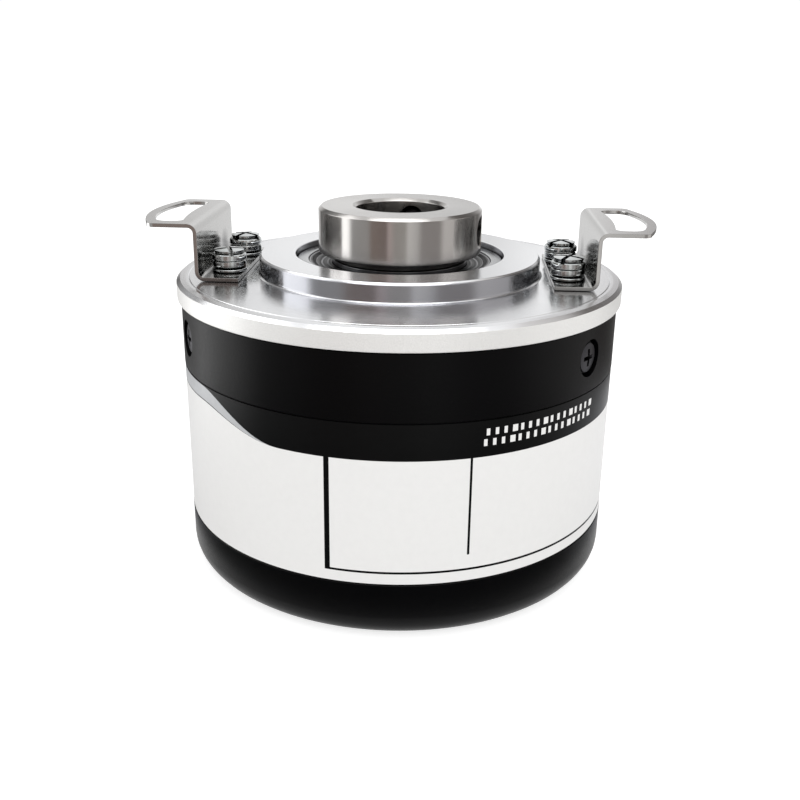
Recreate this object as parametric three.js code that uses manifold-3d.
// Hollow-shaft rotary encoder, 60 mm flange, standing on its rear cover with the shaft axis along +Z.
// Millimetres. z = 0 is the flat bottom of the housing; +X and -X carry the two spring plates,
// -Y is the front, and the cable inlet is at the back, +Y.
import * as THREE from "three";
import { mergeVertices } from "three/addons/utils/BufferGeometryUtils.js";
import Module from "manifold-3d";

const wasm = await Module();
wasm.setup();

// ---- driving dimensions ----
const flangeDiameter = 60;
const flangeFace = 40; // height of the flange's top face above the bottom
const boreDiameter = 12;
const shaftWall = 1.5;
const headDiameter = 22;
const bossDiameter = 38;
const bearingWidth = 7;
const bearingSection = 6.5; // half the difference of its two diameters
const bearingSpacing = 4.7;
const plateWidth = 20.4;
const plateReach = 8.5; // of a spring plate's tab, beyond its leg
const wall = 2.1; // of the housing
const contactGap = 0.05; // between faces that touch
const fitGap = 0.08; // between a bearing ring and its seat
const runningGap = 0.1; // between parts that turn past each other

// ---- heights worked out from them ----
const flangeRim = 2.8;
const bossHeight = 2.5;
const bossTop = flangeFace + bossHeight;
const headHeight = 6.1;
const headBottom = bossTop + 0.2;
const headTop = headBottom + headHeight;
const frontBearingTop = bossTop - 0.8;
const frontBearingBottom = frontBearingTop - bearingWidth;
const rearBearingTop = frontBearingBottom - bearingSpacing;
const rearBearingBottom = rearBearingTop - bearingWidth;
const hubBottom = rearBearingBottom - 1;
const housingTop = flangeFace - flangeRim - contactGap;
const flangeUnderside = flangeFace - 4;
const gasketHeight = flangeFace - 4.5;
const coverScrewHeight = flangeFace - 6.8;
const spigotBottom = flangeFace - 10.5;
const labelTop = flangeFace - 11.4;
const discThickness = 0.5;
const discSeat = hubBottom - 5.4; // underside of the code disc
const boardThickness = 1.6;
const boardTop = discSeat - 3.8;
const inletHeight = boardTop + 5.5;

// ---- radii worked out from them ----
const boreRadius = boreDiameter / 2;
const headRadius = headDiameter / 2;
const bearingInside = boreRadius + shaftWall;
const bearingOutside = bearingInside + bearingSection;
const shaftRadius = bearingInside - fitGap;
const seatRadius = bearingOutside + fitGap;
const flangeRadius = flangeDiameter / 2;
const bossRadius = bossDiameter / 2;
const hubRadius = seatRadius + 3.45;
const bodyRadius = flangeRadius - 0.5;
const cavityRadius = bodyRadius - wall;
const spigotRadius = cavityRadius - 0.2;
const spigotInside = spigotRadius - 3;
const pitchRadius = (bearingInside + bearingOutside) / 2;
const ballRadius = 2;
const boardRadius = cavityRadius - 1.1;
const postRing = spigotInside - 2.9; // radius of the circle of board posts
const postRadius = 2;
const studRadius = 1.5;
const studLength = 2.4; // of a board post, into the flange
const discRadius = postRing - postRadius - 0.7;
const trackRadius = discRadius - 2.6; // where the optics look through the disc

// Facets round a full circle, by the size of the piece.
const FINE = 36;
const MEDIUM = 24;
const SMALL = 12;

// ---- materials ----
function material(color, roughness, metalness) {
  return new THREE.MeshStandardMaterial({ color, roughness, metalness });
}
const aluminium = material(0xc8cacc, 0.3, 1);
const stainless = material(0xa8a39c, 0.28, 1);
const springSteel = material(0xb8b8b6, 0.32, 1);
const zincSteel = material(0xb4bcbc, 0.25, 1);
const bearingSteel = material(0x8f9294, 0.22, 1);
const blackPlastic = material(0x111214, 0.5, 0);
const blackSteel = material(0x17181a, 0.4, 0.6);
const rubber = material(0x1a1a1b, 0.8, 0);
const labelFilm = material(0xdcdcda, 0.45, 0);
const boardGreen = material(0x1f5a38, 0.5, 0);
const chipBlack = material(0x1b1c1e, 0.55, 0);
const brass = material(0xb59a55, 0.35, 1);
const discNickel = material(0x9aa0a6, 0.2, 1);
const cagePolymer = material(0xc9b78d, 0.6, 0);
const connectorWhite = material(0xe6e2d6, 0.55, 0);

// ---- solids ----
function toSolid(geometry) {
  const bare = geometry.index ? geometry.toNonIndexed() : geometry.clone();
  bare.deleteAttribute("normal");
  bare.deleteAttribute("uv");
  const merged = mergeVertices(bare, 1e-4);
  return new wasm.Manifold(
    new wasm.Mesh({
      numProp: 3,
      vertProperties: merged.attributes.position.array,
      triVerts: new Uint32Array(merged.index.array),
    }),
  );
}

function toGeometry(solid) {
  const mesh = solid.getMesh();
  const geometry = new THREE.BufferGeometry();
  geometry.setAttribute("position", new THREE.BufferAttribute(mesh.vertProperties, 3));
  geometry.setIndex(new THREE.BufferAttribute(mesh.triVerts, 1));
  return geometry;
}

const encoder = new THREE.Group();

function place(name, shape, look) {
  const geometry = shape instanceof THREE.BufferGeometry ? shape : toGeometry(shape);
  const mesh = new THREE.Mesh(geometry, look);
  mesh.name = name;
  encoder.add(mesh);
  return mesh;
}

// Revolves a closed loop of [radius, height] points about Z; the loop may run either way round.
function turned(loop, facets = FINE) {
  let area = 0;
  loop.forEach(([r, z], i) => {
    const [nextR, nextZ] = loop[(i + 1) % loop.length];
    area += r * nextZ - nextR * z;
  });
  const ordered = area > 0 ? [...loop] : [...loop].reverse();
  const points = ordered.map(([r, z]) => new THREE.Vector2(r, z));
  points.push(points[0].clone());
  return new THREE.LatheGeometry(points, facets).rotateX(Math.PI / 2);
}

// Points of an arc about [r, z] from one angle to another, in degrees.
function arc(r, z, radius, from, to, steps) {
  return Array.from({ length: steps + 1 }, (_, i) => {
    const angle = THREE.MathUtils.degToRad(from + ((to - from) * i) / steps);
    return [r + radius * Math.cos(angle), z + radius * Math.sin(angle)];
  });
}

function ring(inside, outside, bottom, top, facets = MEDIUM) {
  return turned([[inside, bottom], [outside, bottom], [outside, top], [inside, top]], facets);
}

function rod(radius, bottom, top, facets = SMALL) {
  const geometry = new THREE.CylinderGeometry(radius, radius, top - bottom, facets);
  return geometry.rotateX(Math.PI / 2).translate(0, 0, (bottom + top) / 2);
}

function block(width, depth, height) {
  return new THREE.BoxGeometry(width, depth, height);
}

// Directions round the axis are counted in degrees from the front (-Y), positive towards +X.
function aroundAxis(degreesFromFront) {
  return THREE.MathUtils.degToRad(degreesFromFront - 90);
}

// Turns a piece that points along +Z so that it points outwards, at the given direction and height.
function pointOutwards(geometry, degreesFromFront, height) {
  return geometry
    .rotateY(Math.PI / 2)
    .rotateZ(aroundAxis(degreesFromFront))
    .translate(0, 0, height);
}

// Moves a piece built at the axis out to a radius, turned to face that direction.
function standAt(geometry, radius, degreesFromFront) {
  return geometry.translate(radius, 0, 0).rotateZ(aroundAxis(degreesFromFront));
}

// ---- positions used by more than one piece ----
const coverScrewDirections = { left: -64, right: 56, back: 176 };
const postDirections = { front: 30, left: -90, right: 150 };
const plateInner = bossRadius + 1.2;
const plateLeg = flangeRadius - 4.7;
const plateTip = plateLeg + plateReach;
const plateScrewX = plateInner + 2.1;
const plateScrewY = plateWidth / 2 - 4.8;
const sides = { left: -1, right: 1 };
const ends = { front: -1, back: 1 };
const setScrewDirections = { side: 80, back: 168 };
const setScrewHeight = headTop - 3;
const setScrewRadius = 2;
const inletDirection = 180;
const inletRadius = 4.2;
const m25 = { shank: 1.2, hole: 1.3, head: 2.25 };
const m2 = { shank: 0.95, hole: 1.05, head: 1.9 };

// ---- flange, with its boss, bearing hub and spigot in one turned piece ----
function flange() {
  const bevel = 1.2;
  const bevelDrop = 0.3;
  const edge = 0.3;
  const groove = { depth: 1.1, bottom: gasketHeight - 0.7, top: gasketHeight + 0.7 };
  const shoulder = seatRadius - 1.45;
  const rimBottom = flangeFace - flangeRim;
  let body = toSolid(turned([
    [seatRadius + edge, bossTop],
    [bossRadius - 0.4, bossTop],
    [bossRadius, bossTop - 0.4],
    [bossRadius, flangeFace + edge],
    [bossRadius + edge, flangeFace],
    [flangeRadius - bevel, flangeFace],
    [flangeRadius - edge, flangeFace - bevelDrop],
    [flangeRadius, flangeFace - bevelDrop - edge],
    [flangeRadius, rimBottom + edge],
    [flangeRadius - edge, rimBottom],
    [spigotRadius, rimBottom],
    [spigotRadius, groove.top],
    [spigotRadius - groove.depth, groove.top],
    [spigotRadius - groove.depth, groove.bottom],
    [spigotRadius, groove.bottom],
    [spigotRadius, spigotBottom + edge],
    [spigotRadius - edge, spigotBottom],
    [spigotInside, spigotBottom],
    [spigotInside, flangeUnderside],
    [hubRadius, flangeUnderside],
    [hubRadius, hubBottom],
    [seatRadius, hubBottom],
    [seatRadius, rearBearingTop + contactGap],
    [shoulder, rearBearingTop + contactGap],
    [shoulder, frontBearingBottom - contactGap],
    [seatRadius, frontBearingBottom - contactGap],
    [seatRadius, bossTop - edge],
  ]));
  for (const side of Object.values(sides)) {
    for (const end of Object.values(ends)) {
      const hole = rod(m25.hole, flangeUnderside - 1, flangeFace + 1);
      hole.translate(side * plateScrewX, end * plateScrewY, 0);
      body = body.subtract(toSolid(hole));
    }
  }
  for (const direction of Object.values(coverScrewDirections)) {
    const hole = rod(m25.hole, spigotInside - 1, spigotRadius + 1);
    body = body.subtract(toSolid(pointOutwards(hole, direction, coverScrewHeight)));
  }
  for (const direction of Object.values(postDirections)) {
    const hole = rod(studRadius + 0.1, flangeUnderside - 1, flangeUnderside + studLength + 0.2);
    body = body.subtract(toSolid(standAt(hole, postRing, direction)));
  }
  place("flange", body, aluminium);
}

// ---- black housing cup, closed at the bottom but for the shaft's way through ----
const shaftOpening = shaftRadius + 1.1;
const recessFloor = bodyRadius - 1.1;
const inletFlat = bodyRadius - 1;

function housing() {
  const corner = 3.4;
  const insideCorner = 1.6;
  const floor = 2.4;
  const collarTop = 5;
  const edge = 0.3;
  const collarRadius = shaftOpening + 1.6;
  let body = toSolid(turned([
    [shaftOpening, 0.4],
    [shaftOpening + 0.4, 0],
    ...arc(bodyRadius - corner, corner, corner, -90, 0, 6),
    [bodyRadius, housingTop - edge],
    [bodyRadius - edge, housingTop],
    [cavityRadius, housingTop],
    ...arc(cavityRadius - insideCorner, floor + insideCorner, insideCorner, 0, -90, 3),
    [collarRadius, floor],
    [collarRadius, collarTop],
    [shaftOpening, collarTop],
  ]));
  for (const direction of Object.values(coverScrewDirections)) {
    const recess = rod(2.4, recessFloor, bodyRadius + 1);
    const hole = rod(m25.hole, cavityRadius - 1, bodyRadius);
    body = body.subtract(toSolid(pointOutwards(recess, direction, coverScrewHeight)));
    body = body.subtract(toSolid(pointOutwards(hole, direction, coverScrewHeight)));
  }
  const spotFace = rod(5.9, inletFlat, bodyRadius + 1, MEDIUM);
  const inlet = rod(inletRadius, cavityRadius - 1, bodyRadius + 1, MEDIUM);
  body = body.subtract(toSolid(pointOutwards(spotFace, inletDirection, inletHeight)));
  body = body.subtract(toSolid(pointOutwards(inlet, inletDirection, inletHeight)));
  place("housing", body, blackPlastic);
}

// ---- label film, wrapped round the housing with a gap at the back for the cable inlet ----
function label() {
  const bottom = 8;
  const thickness = 0.2;
  const halfSweep = THREE.MathUtils.degToRad(157);
  const inside = bodyRadius + contactGap;
  const sector = new THREE.Shape();
  sector.absarc(0, 0, inside + thickness, -halfSweep, halfSweep, false);
  sector.absarc(0, 0, inside, halfSweep, -halfSweep, true);
  sector.closePath();
  const film = new THREE.ExtrudeGeometry(sector, {
    depth: labelTop - bottom,
    bevelEnabled: false,
    curveSegments: 36,
  });
  film.rotateZ(aroundAxis(0)).translate(0, 0, bottom);
  place("label", film, labelFilm);
}

// ---- rubber grommet that lines the cable inlet, flush inside the flange's circle ----
function cableInlet() {
  const lip = 5.4;
  const neck = inletRadius - contactGap;
  const bore = 3.1;
  const outerFace = flangeRadius - 0.05;
  const innerFace = cavityRadius - 1;
  const grommet = turned([
    [bore, innerFace],
    [neck + 0.5, innerFace],
    [neck + 0.5, cavityRadius - 0.45],
    [neck, cavityRadius - 0.45],
    [neck, inletFlat + contactGap],
    [lip, inletFlat + contactGap],
    [lip, outerFace - 0.5],
    [lip - 0.5, outerFace],
    [bore + 0.4, outerFace],
    [bore, outerFace - 0.4],
  ], MEDIUM);
  place("cable_inlet", pointOutwards(grommet, inletDirection, inletHeight), rubber);
}

// ---- cross-slotted screws ----
// A cross slot at the top of a screw head, narrowing towards its floor.
function crossSlot(top, span, width, depth) {
  const wing = new THREE.CylinderGeometry(span / Math.SQRT2, (0.45 * span) / Math.SQRT2, depth + 0.1, 4);
  const taper = toSolid(wing.rotateY(Math.PI / 4).rotateX(Math.PI / 2));
  const along = toSolid(block(span * 1.2, width, depth + 0.1));
  const across = toSolid(block(width, span * 1.2, depth + 0.1));
  return taper.intersect(along.add(across)).translate(0, 0, top - depth / 2 + 0.05);
}

function crossScrew({ head, shank, headBottom: bottom, headTop: top, tip, round }) {
  const body = toSolid(turned([
    [0, top],
    [0, tip],
    [shank - 0.25, tip],
    [shank, tip + 0.25],
    [shank, bottom],
    [head, bottom],
    ...arc(head - round, top - round, round, 0, 90, 2),
  ], SMALL));
  return body.subtract(crossSlot(top, head * 1.15, head * 0.32, 0.75));
}

function plateScrews() {
  const thickness = 0.5;
  const washerBottom = flangeFace + contactGap + thickness + contactGap;
  const washerTop = washerBottom + 0.4;
  const lockBottom = washerTop + contactGap;
  const lockHeight = 0.7;
  const lockRise = 0.25;
  const headDepth = 1.5;
  const headBottomZ = lockBottom + lockHeight + lockRise + contactGap;
  for (const [sideName, side] of Object.entries(sides)) {
    for (const [endName, end] of Object.entries(ends)) {
      const where = [side * plateScrewX, end * plateScrewY, 0];
      const suffix = `${sideName}_${endName}`;
      const washer = ring(m25.hole + 0.1, 2.3, washerBottom, washerTop, 16);
      place(`flat_washer_${suffix}`, washer, zincSteel).position.set(...where);
      const lock = lockWasher(lockBottom, lockHeight, lockRise);
      place(`lock_washer_${suffix}`, lock, zincSteel).position.set(...where);
      const screw = crossScrew({
        head: m25.head,
        shank: m25.shank,
        headBottom: headBottomZ,
        headTop: headBottomZ + headDepth,
        tip: flangeUnderside + 0.4,
        round: 0.5,
      });
      place(`plate_screw_${suffix}`, screw, zincSteel).position.set(...where);
    }
  }
}

// A split spring washer: a square wire that climbs a little in just under one turn.
function lockWasher(bottom, height, rise) {
  const inside = m25.hole + 0.1;
  const outside = 2.2;
  const sweep = THREE.MathUtils.degToRad(338);
  const middle = (inside + outside) / 2;
  const steps = 16;
  const points = Array.from({ length: steps + 1 }, (_, i) => {
    const angle = (sweep * i) / steps;
    const z = bottom + height / 2 + (rise * i) / steps;
    return new THREE.Vector3(middle * Math.cos(angle), middle * Math.sin(angle), z);
  });
  const half = (outside - inside) / 2;
  const wire = new THREE.Shape([
    new THREE.Vector2(-half, -height / 2),
    new THREE.Vector2(half, -height / 2),
    new THREE.Vector2(half, height / 2),
    new THREE.Vector2(-half, height / 2),
  ]);
  const path = new THREE.CatmullRomCurve3(points);
  return new THREE.ExtrudeGeometry(wire, { steps, extrudePath: path, bevelEnabled: false });
}

function coverScrews() {
  for (const [name, direction] of Object.entries(coverScrewDirections)) {
    const screw = toGeometry(crossScrew({
      head: 2.1,
      shank: m25.shank,
      headBottom: recessFloor + contactGap,
      headTop: bodyRadius - 0.2,
      tip: spigotInside + 0.2,
      round: 0.35,
    }));
    place(`cover_screw_${name}`, pointOutwards(screw, direction, coverScrewHeight), blackSteel);
  }
}

// ---- spring plates: a strip bent up and out, with a wide eye round a tongue ----
function springPlate() {
  const thickness = 0.5;
  const base = flangeFace + contactGap;
  const tabBottom = flangeFace + 6.9;
  const lowerBend = 1.2;
  const upperBend = 0.7;
  const outerFace = plateLeg + thickness;
  const bent = new THREE.Shape();
  bent.moveTo(plateInner, base);
  bent.lineTo(outerFace - lowerBend, base);
  bent.absarc(outerFace - lowerBend, base + lowerBend, lowerBend, -Math.PI / 2, 0, false);
  bent.lineTo(outerFace, tabBottom - upperBend);
  bent.absarc(outerFace + upperBend, tabBottom - upperBend, upperBend, Math.PI, Math.PI / 2, true);
  bent.lineTo(plateTip, tabBottom);
  bent.lineTo(plateTip, tabBottom + thickness);
  const overBend = upperBend + thickness;
  bent.absarc(outerFace + upperBend, tabBottom - upperBend, overBend, Math.PI / 2, Math.PI, false);
  bent.absarc(outerFace - lowerBend, base + lowerBend, lowerBend - thickness, 0, -Math.PI / 2, true);
  bent.lineTo(plateInner, base + thickness);
  bent.closePath();
  const across = { depth: plateWidth, bevelEnabled: false, curveSegments: 5 };
  const strip = new THREE.ExtrudeGeometry(bent, across);
  strip.rotateX(Math.PI / 2).translate(0, plateWidth / 2, 0);

  let plate = toSolid(strip).intersect(upright(tabOutline(), base - 1, tabBottom + 2));
  plate = plate.subtract(upright(eyeOutline(), tabBottom - 1, tabBottom + 2));
  for (const end of Object.values(ends)) {
    const hole = rod(m25.hole + 0.1, base - 1, base + 1).translate(plateScrewX, end * plateScrewY, 0);
    plate = plate.subtract(toSolid(hole));
  }
  return plate;
}

// A prism that stands on a plan outline.
function upright(outline, bottom, top) {
  const options = { depth: top - bottom, bevelEnabled: false, curveSegments: 8 };
  const prism = new THREE.ExtrudeGeometry(outline, options);
  return toSolid(prism.translate(0, 0, bottom));
}

// Plan of the whole plate: square base corners, and a tab that ends in a shallow round nose.
function tabOutline() {
  const half = plateWidth / 2;
  const corner = plateTip - 1.8;
  const round = 1.2;
  const outline = new THREE.Shape();
  outline.moveTo(plateInner - 1, -half);
  outline.lineTo(corner - round, -half);
  outline.quadraticCurveTo(corner - 0.2, -half, corner, -half + round);
  outline.quadraticCurveTo(plateTip + 1.8, 0, corner, half - round);
  outline.quadraticCurveTo(corner - 0.2, half, corner - round, half);
  outline.lineTo(plateInner - 1, half);
  outline.closePath();
  return outline;
}

// The eye: it follows the nose at the width of the frame, and a low tongue bulges in from the leg.
function eyeOutline() {
  const end = plateWidth / 2 - 2.2;
  const nose = plateTip - 1.2;
  const heel = nose - 4.8;
  const shoulder = nose - 0.9;
  const outline = new THREE.Shape();
  outline.moveTo(heel, -end + 1.2);
  outline.quadraticCurveTo(heel, -end, heel + 1.4, -end);
  outline.lineTo(heel + 2.2, -end);
  outline.quadraticCurveTo(shoulder - 0.4, -end + 0.2, shoulder, -end + 2.2);
  outline.quadraticCurveTo(nose + 0.9, 0, shoulder, end - 2.2);
  outline.quadraticCurveTo(shoulder - 0.4, end - 0.2, heel + 2.2, end);
  outline.lineTo(heel + 1.4, end);
  outline.quadraticCurveTo(heel, end, heel, end - 1.2);
  outline.quadraticCurveTo(heel + 0.9, 0, heel, -end + 1.2);
  return outline;
}

function springPlates() {
  place("spring_plate_right", springPlate(), springSteel);
  place("spring_plate_left", springPlate().rotate([0, 0, 180]), springSteel);
}

// ---- hollow shaft with its clamping head ----
function hollowShaft() {
  const chamfer = 0.35;
  const clipGroove = { bottom: hubBottom - 0.15, top: rearBearingBottom - 0.05, radius: shaftRadius - 0.5 };
  const shoulder = shaftRadius + 1.4;
  const tail = 0.8;
  let body = toSolid(turned([
    [boreRadius, headTop - chamfer],
    [boreRadius + chamfer, headTop],
    [headRadius - chamfer, headTop],
    [headRadius, headTop - chamfer],
    [headRadius, headBottom + chamfer],
    [headRadius - chamfer, headBottom],
    [shoulder, headBottom],
    [shoulder, frontBearingTop + contactGap],
    [shaftRadius, frontBearingTop + contactGap],
    [shaftRadius, clipGroove.top],
    [clipGroove.radius, clipGroove.top],
    [clipGroove.radius, clipGroove.bottom],
    [shaftRadius, clipGroove.bottom],
    [shaftRadius, tail + chamfer],
    [shaftRadius - chamfer, tail],
    [boreRadius + chamfer, tail],
    [boreRadius, tail + chamfer],
  ]));
  for (const direction of Object.values(setScrewDirections)) {
    const hole = rod(setScrewRadius, boreRadius - 1, headRadius + 1);
    body = body.subtract(toSolid(pointOutwards(hole, direction, setScrewHeight)));
  }
  place("hollow_shaft", body, stainless);
}

function setScrews() {
  const outerEnd = headRadius - 0.9;
  const innerEnd = boreRadius + 0.7;
  const socketRadius = 1.15;
  for (const [name, direction] of Object.entries(setScrewDirections)) {
    const socket = rod(socketRadius, outerEnd - 1, outerEnd + 1, 6);
    const thread = setScrewRadius - contactGap;
    const body = toSolid(turned([
      [0, outerEnd],
      [0, innerEnd],
      [thread - 0.6, innerEnd],
      [thread, innerEnd + 0.6],
      [thread, outerEnd - 0.2],
      [thread - 0.2, outerEnd],
    ], SMALL));
    const screw = toGeometry(body.subtract(toSolid(socket)));
    place(`set_screw_${name}`, pointOutwards(screw, direction, setScrewHeight), blackSteel);
  }
}

// ---- ball bearings ----
// Distance from the pitch circle to each ring's land, and the radius of the ball groove.
const landOffset = 1.6;
const grooveRadius = ballRadius + 0.12;

function outerRing(bottom) {
  const land = pitchRadius + landOffset;
  const middle = bottom + bearingWidth / 2;
  const top = bottom + bearingWidth;
  const half = THREE.MathUtils.radToDeg(Math.acos(landOffset / grooveRadius));
  const edge = 0.3;
  return turned([
    [land + edge, bottom],
    [bearingOutside - edge, bottom],
    [bearingOutside, bottom + edge],
    [bearingOutside, top - edge],
    [bearingOutside - edge, top],
    [land + edge, top],
    [land, top - edge],
    ...arc(pitchRadius, middle, grooveRadius, half, -half, 4),
    [land, bottom + edge],
  ], MEDIUM);
}

function innerRing(bottom) {
  const land = pitchRadius - landOffset;
  const middle = bottom + bearingWidth / 2;
  const top = bottom + bearingWidth;
  const half = THREE.MathUtils.radToDeg(Math.acos(landOffset / grooveRadius));
  return turned([
    [bearingInside, bottom],
    [land, bottom],
    ...arc(pitchRadius, middle, grooveRadius, 180 + half, 180 - half, 4),
    [land, top],
    [bearingInside, top],
  ], MEDIUM);
}

// The cage ring and the balls it carries, which travel round together.
function cage(bottom) {
  const balls = 9;
  const middle = bottom + bearingWidth / 2;
  let body = toSolid(ring(pitchRadius - 0.6, pitchRadius + 0.6, middle - 1.1, middle + 1.1, 18));
  for (let i = 0; i < balls; i++) {
    const angle = (2 * Math.PI * i) / balls;
    const ball = new THREE.SphereGeometry(ballRadius, 8, 5).rotateX(Math.PI / 2);
    ball.translate(pitchRadius * Math.cos(angle), pitchRadius * Math.sin(angle), middle);
    body = body.add(toSolid(ball));
  }
  return body;
}

// A thin dished shield, fixed in the outer ring and clear of the inner ring.
function shield(innerSide, outerSide) {
  const sheet = 0.3 * Math.sign(outerSide - innerSide);
  const lift = outerSide - sheet;
  const reach = pitchRadius + landOffset - contactGap;
  const inner = pitchRadius - landOffset + runningGap;
  return turned([
    [inner, innerSide],
    [reach - 1, innerSide],
    [reach, lift],
    [reach, outerSide],
    [reach - 0.4, outerSide],
    [reach - 1.2, innerSide + sheet],
    [inner, innerSide + sheet],
  ], MEDIUM);
}

function bearings() {
  const places = { front: frontBearingBottom, rear: rearBearingBottom };
  for (const [name, bottom] of Object.entries(places)) {
    place(`${name}_bearing_outer_ring`, outerRing(bottom), bearingSteel);
    place(`${name}_bearing_inner_ring`, innerRing(bottom), bearingSteel);
    place(`${name}_bearing_cage`, cage(bottom), cagePolymer);
  }
  const depth = 0.9;
  const frontShield = shield(frontBearingTop - depth, frontBearingTop - 0.2);
  place("front_bearing_shield", frontShield, bearingSteel);
  const rearShield = shield(rearBearingBottom + depth, rearBearingBottom + 0.2);
  place("rear_bearing_shield", toSolid(rearShield), bearingSteel);
  const spacer = ring(
    bearingInside,
    bearingInside + 1.2,
    rearBearingTop + contactGap,
    frontBearingBottom - contactGap,
  );
  place("bearing_spacer", spacer, stainless);
}

// ---- retaining clip in the shaft's groove, open on one side ----
function shaftClip() {
  const bottom = hubBottom - 0.1;
  const top = rearBearingBottom - 0.1;
  const body = toSolid(ring(shaftRadius - 0.45, shaftRadius + 1.3, bottom, top, FINE));
  const mouth = block(6, 5.2, 4).translate(shaftRadius + 2, 0, bottom);
  place("shaft_clip", body.subtract(toSolid(mouth)), springSteel);
}

// ---- gasket between the flange's spigot and the housing ----
function gasket() {
  const cordRadius = 0.52;
  const torus = new THREE.TorusGeometry(spigotRadius - 0.45, cordRadius, 6, FINE);
  place("housing_gasket", torus.translate(0, 0, gasketHeight), rubber);
}

// ---- code disc on its hub ----
function codeDisc() {
  const sleeve = bearingInside + 1.7;
  const seat = sleeve + 2.2;
  let hub = toSolid(turned([
    [bearingInside, discSeat - 3],
    [seat, discSeat - 3],
    [seat, discSeat - contactGap],
    [sleeve, discSeat - contactGap],
    [sleeve, discSeat + 3.4],
    [bearingInside, discSeat + 3.4],
  ], MEDIUM));
  const screwHeight = discSeat - 1.5;
  for (const direction of [0, 180]) {
    const hole = rod(m2.hole, bearingInside - 1, seat + 1);
    hub = hub.subtract(toSolid(pointOutwards(hole, direction, screwHeight)));
  }
  place("disc_hub", hub, brass);
  for (const [name, direction] of Object.entries({ front: 0, back: 180 })) {
    const screw = rod(m2.shank, bearingInside + 0.1, seat - 0.3);
    place(`hub_screw_${name}`, pointOutwards(screw, direction, screwHeight), blackSteel);
  }
  const disc = ring(sleeve + contactGap, discRadius, discSeat, discSeat + discThickness, FINE);
  place("code_disc", disc, discNickel);
  const clampBottom = discSeat + discThickness + contactGap;
  place("disc_clamp_ring", ring(sleeve + contactGap, seat, clampBottom, clampBottom + 1.2), brass);
}

// ---- circuit board on three posts, with the parts it carries ----
function circuitBoard() {
  const bottom = boardTop - boardThickness;
  let board = toSolid(ring(shaftRadius + 3, boardRadius, bottom, boardTop, FINE));
  for (const direction of Object.values(postDirections)) {
    const hole = rod(m2.hole, bottom - 1, boardTop + 1);
    board = board.subtract(toSolid(standAt(hole, postRing, direction)));
  }
  place("circuit_board", board, boardGreen);
  const studTop = flangeUnderside + studLength;
  const screwEnd = boardTop + 4.5;
  const holeEnd = boardTop + 6;
  for (const [name, direction] of Object.entries(postDirections)) {
    const post = turned([
      [m2.hole, boardTop + contactGap],
      [postRadius, boardTop + contactGap],
      [postRadius, flangeUnderside - contactGap],
      [studRadius, flangeUnderside - contactGap],
      [studRadius, studTop],
      [0, studTop],
      [0, holeEnd],
      [m2.hole, holeEnd],
    ], SMALL);
    place(`board_post_${name}`, standAt(post, postRing, direction), brass);
    const screw = turned([
      [0, bottom - 1.3],
      [m2.head, bottom - 1.3],
      [m2.head, bottom - contactGap],
      [m2.shank, bottom - contactGap],
      [m2.shank, screwEnd],
      [0, screwEnd],
    ], SMALL);
    place(`board_screw_${name}`, standAt(screw, postRing, direction), zincSteel);
  }
}

// The light source hangs from the hub above the disc; the mask and the sensor are below the disc.
function optics() {
  const direction = 240;
  const discTop = discSeat + discThickness;
  const lampBottom = discTop + 0.9;
  const lampTop = hubBottom - contactGap;
  const lampInner = hubRadius - 4.03;
  const lampOuter = trackRadius + 2.5;
  const lamp = block(lampOuter - lampInner, 8, lampTop - lampBottom);
  lamp.translate((lampInner + lampOuter) / 2, 0, (lampTop + lampBottom) / 2);
  const lens = rod(1.6, lampBottom - 0.3, lampTop - 1).translate(trackRadius, 0, 0);
  const lampBody = toGeometry(toSolid(lamp).add(toSolid(lens)));
  place("light_source", lampBody.rotateZ(aroundAxis(direction)), chipBlack);
  const sensorTop = discSeat - 1.1;
  const sensor = block(5, 7, sensorTop - boardTop - contactGap);
  sensor.translate(0, 0, (sensorTop + boardTop + contactGap) / 2);
  place("photo_sensor", standAt(sensor, trackRadius, direction), chipBlack);
  const mask = block(5.4, 7.6, 0.5).translate(0, 0, sensorTop + contactGap + 0.25);
  place("reticle_mask", standAt(mask, trackRadius, direction), discNickel);
}

function boardParts() {
  const seat = boardTop + contactGap;
  const processor = block(7, 7, 1.2).translate(0, 0, seat + 0.6);
  place("processor_chip", standAt(processor, boardRadius - 7.3, -20), chipBlack);
  const driver = block(4.4, 6, 1.5).translate(0, 0, seat + 0.75);
  place("line_driver_chip", standAt(driver, boardRadius - 7.3, 90), chipBlack);
  const can = rod(2.1, seat, seat + 5.4, MEDIUM);
  place("smoothing_capacitor", standAt(can, boardRadius - 3.7, -130), aluminium);
  let header = toSolid(block(5, 13, 6));
  header = header.subtract(toSolid(block(3.4, 11.4, 6)).translate(0, 0, 1.4));
  const shell = toGeometry(header).translate(0, 0, seat + 3);
  place("cable_header", standAt(shell, boardRadius - 4.3, inletDirection), connectorWhite);
}

flange();
housing();
label();
cableInlet();
coverScrews();
springPlates();
plateScrews();
hollowShaft();
setScrews();
bearings();
shaftClip();
gasket();
codeDisc();
circuitBoard();
optics();
boardParts();

export default encoder;
